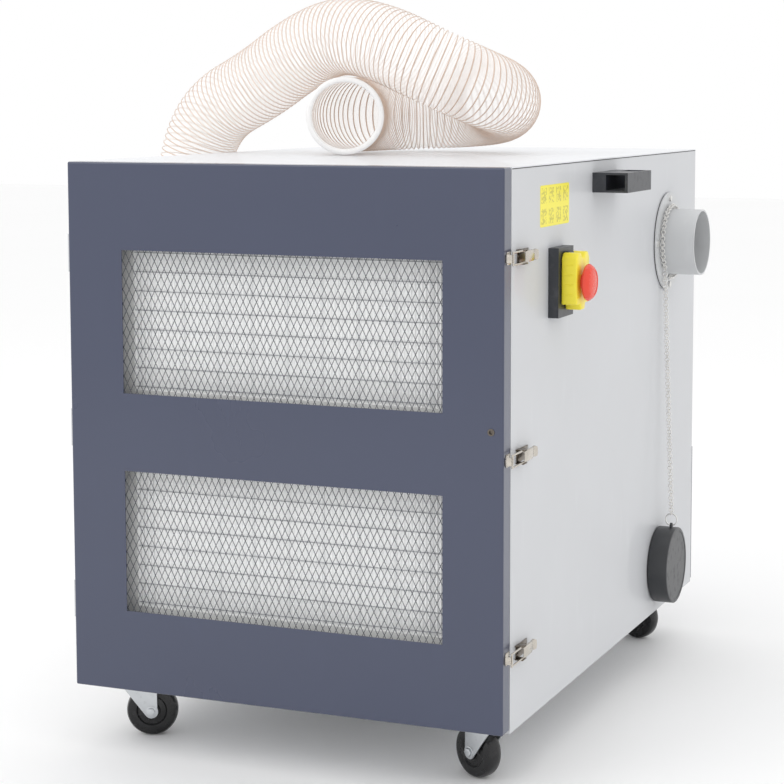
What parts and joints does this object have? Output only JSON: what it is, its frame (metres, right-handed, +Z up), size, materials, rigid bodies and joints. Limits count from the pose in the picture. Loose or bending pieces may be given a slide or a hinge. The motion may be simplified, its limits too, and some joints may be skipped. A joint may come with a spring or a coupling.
{
  "type": "dust collector",
  "caption": "Mobile cabinet dust collector on swivel castors: side inlet with capped spigot, hinged front door over two pleated filters, rear dust drawer and a clear suction hose.",
  "frame": {"origin": "on the floor, under the middle of the object's box without the loose hose", "axes": "+Z up, -Y towards the filter door at the front, +X towards the side with the inlet and the switch"},
  "size_m": [0.7951, 0.9288, 1.0169],
  "materials": {
    "slate_paint": "fine textured slate-blue powder coat",
    "white_paint": "pale grey textured powder coat",
    "galvanised_sheet": "galvanised sheet",
    "mesh_steel": "dark expanded metal",
    "filter_paper": "white mini-pleat filter paper",
    "filter_board": "white moulded frame",
    "seal_rubber": "black foam rubber",
    "nickel": "nickel-plated steel",
    "hinge_steel": "pale grey paint",
    "zinc_steel": "zinc-plated pressed steel",
    "tyre_rubber": "black rubber",
    "black_plastic": "black moulded plastic",
    "cap_plastic": "dark grey moulded plastic",
    "yellow_plastic": "yellow plastic",
    "red_plastic": "red plastic",
    "green_plastic": "green plastic",
    "label_film": "yellow printed film",
    "spigot_paint": "light grey paint",
    "motor_paint": "grey paint",
    "fan_aluminium": "spun aluminium",
    "cartridge_cloth": "pleated polyester cloth",
    "hose_film": "clear polyurethane over a coppered wire helix"
  },
  "bodies": {
    "cabinet": {"base_pan": "white_paint", "top_panel": "white_paint", "left_side_panel": "white_paint", "right_side_panel": "white_paint", "rear_panel": "white_paint", "front_frame": "white_paint", "filter_carrier": "galvanised_sheet", "filter_frames": "filter_board", "filter_media": "filter_paper", "fan_partition": "galvanised_sheet", "motor_mount": "galvanised_sheet", "motor": "motor_paint", "prefilter_cartridge": "cartridge_cloth", "drawer_runners": "galvanised_sheet", "inlet_spigot": "spigot_paint", "inlet_gasket": "seal_rubber", "inlet_screws": "nickel", "carry_handle": "black_plastic", "safety_label": "label_film", "switch_base": "black_plastic", "latch_bases": "nickel", "cabinet_hinge_leaves": "hinge_steel", "castor_plates": "zinc_steel", "castor_bolts": "zinc_steel", "rear_screws": "nickel", "cable_gland": "black_plastic", "chain_loop": "nickel", "hose": "hose_film"},
    "door": {"door_shell": "slate_paint", "door_grilles": "mesh_steel", "grille_retainers": "galvanised_sheet", "door_gasket": "seal_rubber", "door_hinge_leaves": "hinge_steel", "latch_keepers": "nickel", "door_lock": "nickel"},
    "switch_cover": {"switch_cover": "yellow_plastic"},
    "stop_mushroom": {"stop_mushroom": "red_plastic"},
    "start_button": {"start_button": "green_plastic"},
    "stop_button": {"stop_button": "red_plastic"},
    "chain": {"hanging_chain": "nickel"},
    "inlet_cap": {"inlet_cap": "cap_plastic"},
    "fan": {"impeller": "fan_aluminium"},
    "drawer": {"dust_drawer": "galvanised_sheet", "drawer_front": "slate_paint", "drawer_handle": "zinc_steel"},
    "latch_lever_top": {"latch_lever_top": "nickel"},
    "latch_bail_top": {"latch_bail_top": "nickel"},
    "latch_lever_middle": {"latch_lever_middle": "nickel"},
    "latch_bail_middle": {"latch_bail_middle": "nickel"},
    "latch_lever_bottom": {"latch_lever_bottom": "nickel"},
    "latch_bail_bottom": {"latch_bail_bottom": "nickel"},
    "castor_fork_front_left": {"castor_fork_front_left": "zinc_steel"},
    "castor_wheel_front_left": {"castor_wheel_front_left": "tyre_rubber"},
    "castor_fork_front_right": {"castor_fork_front_right": "zinc_steel"},
    "castor_wheel_front_right": {"castor_wheel_front_right": "tyre_rubber"},
    "castor_fork_rear_left": {"castor_fork_rear_left": "zinc_steel"},
    "castor_wheel_rear_left": {"castor_wheel_rear_left": "tyre_rubber"},
    "castor_fork_rear_right": {"castor_fork_rear_right": "zinc_steel"},
    "castor_wheel_rear_right": {"castor_wheel_rear_right": "tyre_rubber"}
  },
  "joints": [
    {"name": "door_hinge", "type": "hinge", "parent": "cabinet", "child": "door", "pos_m": [-0.33265, -0.4386, 0.435], "axis": [0, 0, -1], "range_deg": [0, 110]},
    {"name": "latch_lever_top_hinge", "type": "hinge", "parent": "cabinet", "child": "latch_lever_top", "pos_m": [0.28965, -0.4136, 0.677], "axis": [0, 0, -1], "range_deg": [0, 110]},
    {"name": "latch_bail_top_hinge", "type": "hinge", "parent": "latch_lever_top", "child": "latch_bail_top", "pos_m": [0.28815, -0.4056, 0.677], "axis": [0, 0, -1], "range_deg": [-112, 2]},
    {"name": "latch_lever_middle_hinge", "type": "hinge", "parent": "cabinet", "child": "latch_lever_middle", "pos_m": [0.28965, -0.4136, 0.429], "axis": [0, 0, -1], "range_deg": [0, 110]},
    {"name": "latch_bail_middle_hinge", "type": "hinge", "parent": "latch_lever_middle", "child": "latch_bail_middle", "pos_m": [0.28815, -0.4056, 0.429], "axis": [0, 0, -1], "range_deg": [-112, 2]},
    {"name": "latch_lever_bottom_hinge", "type": "hinge", "parent": "cabinet", "child": "latch_lever_bottom", "pos_m": [0.28965, -0.4136, 0.181], "axis": [0, 0, -1], "range_deg": [0, 110]},
    {"name": "latch_bail_bottom_hinge", "type": "hinge", "parent": "latch_lever_bottom", "child": "latch_bail_bottom", "pos_m": [0.28815, -0.4056, 0.181], "axis": [0, 0, -1], "range_deg": [-112, 2]},
    {"name": "switch_cover_hinge", "type": "hinge", "parent": "cabinet", "child": "switch_cover", "pos_m": [0.30045, -0.2686, 0.6706], "axis": [0, -1, 0], "range_deg": [0, 100]},
    {"name": "stop_mushroom_press", "type": "slide", "parent": "switch_cover", "child": "stop_mushroom", "axis": [-1, 0, 0], "range_m": [0, 0.004], "stiffness_N_per_m": 300, "springref_m": -0.004},
    {"name": "start_button_press", "type": "slide", "parent": "cabinet", "child": "start_button", "axis": [-1, 0, 0], "range_m": [0, 0.004], "stiffness_N_per_m": 300, "springref_m": -0.004},
    {"name": "stop_button_press", "type": "slide", "parent": "cabinet", "child": "stop_button", "axis": [-1, 0, 0], "range_m": [0, 0.004], "stiffness_N_per_m": 300, "springref_m": -0.004},
    {"name": "chain_swing", "type": "hinge", "parent": "cabinet", "child": "chain", "pos_m": [0.28965, 0.22647, 0.61072], "axis": [1, 0, 0], "range_deg": [-15, 15]},
    {"name": "cap_swing", "type": "hinge", "parent": "chain", "child": "inlet_cap", "pos_m": [0.30365, 0.22647, 0.2156], "axis": [1, 0, 0], "range_deg": [-20, 20]},
    {"name": "fan_spin", "type": "hinge", "parent": "cabinet", "child": "fan", "pos_m": [-0.02335, -0.1596, 0.487], "axis": [0, 1, 0], "continuous": true},
    {"name": "drawer_slide", "type": "slide", "parent": "cabinet", "child": "drawer", "axis": [0, 1, 0], "range_m": [0, 0.36]},
    {"name": "castor_swivel_front_left", "type": "hinge", "parent": "cabinet", "child": "castor_fork_front_left", "pos_m": [-0.28035, -0.3836, 0.0792], "axis": [0, 0, 1], "continuous": true},
    {"name": "castor_roll_front_left", "type": "hinge", "parent": "castor_fork_front_left", "child": "castor_wheel_front_left", "pos_m": [-0.26181, -0.37611, 0.035], "axis": [-0.3746, 0.9272, 0], "continuous": true},
    {"name": "castor_swivel_front_right", "type": "hinge", "parent": "cabinet", "child": "castor_fork_front_right", "pos_m": [0.23365, -0.3836, 0.0792], "axis": [0, 0, 1], "continuous": true},
    {"name": "castor_roll_front_right", "type": "hinge", "parent": "castor_fork_front_right", "child": "castor_wheel_front_right", "pos_m": [0.21599, -0.37421, 0.035], "axis": [-0.4695, -0.8829, 0], "continuous": true},
    {"name": "castor_swivel_rear_left", "type": "hinge", "parent": "cabinet", "child": "castor_fork_rear_left", "pos_m": [-0.28035, 0.3484, 0.0792], "axis": [0, 0, 1], "continuous": true},
    {"name": "castor_roll_rear_left", "type": "hinge", "parent": "castor_fork_rear_left", "child": "castor_wheel_rear_left", "pos_m": [-0.27351, 0.36719, 0.035], "axis": [-0.9397, 0.342, 0], "continuous": true},
    {"name": "castor_swivel_rear_right", "type": "hinge", "parent": "cabinet", "child": "castor_fork_rear_right", "pos_m": [0.23365, 0.3484, 0.0792], "axis": [0, 0, 1], "continuous": true},
    {"name": "castor_roll_rear_right", "type": "hinge", "parent": "castor_fork_rear_right", "child": "castor_wheel_rear_right", "pos_m": [0.21486, 0.35524, 0.035], "axis": [-0.342, -0.9397, 0], "continuous": true}
  ],
  "couplings": [
    {"joint": "latch_bail_top_hinge", "follows": "latch_lever_top_hinge", "ratio": -1},
    {"joint": "latch_bail_middle_hinge", "follows": "latch_lever_middle_hinge", "ratio": -1},
    {"joint": "latch_bail_bottom_hinge", "follows": "latch_lever_bottom_hinge", "ratio": -1}
  ]
}
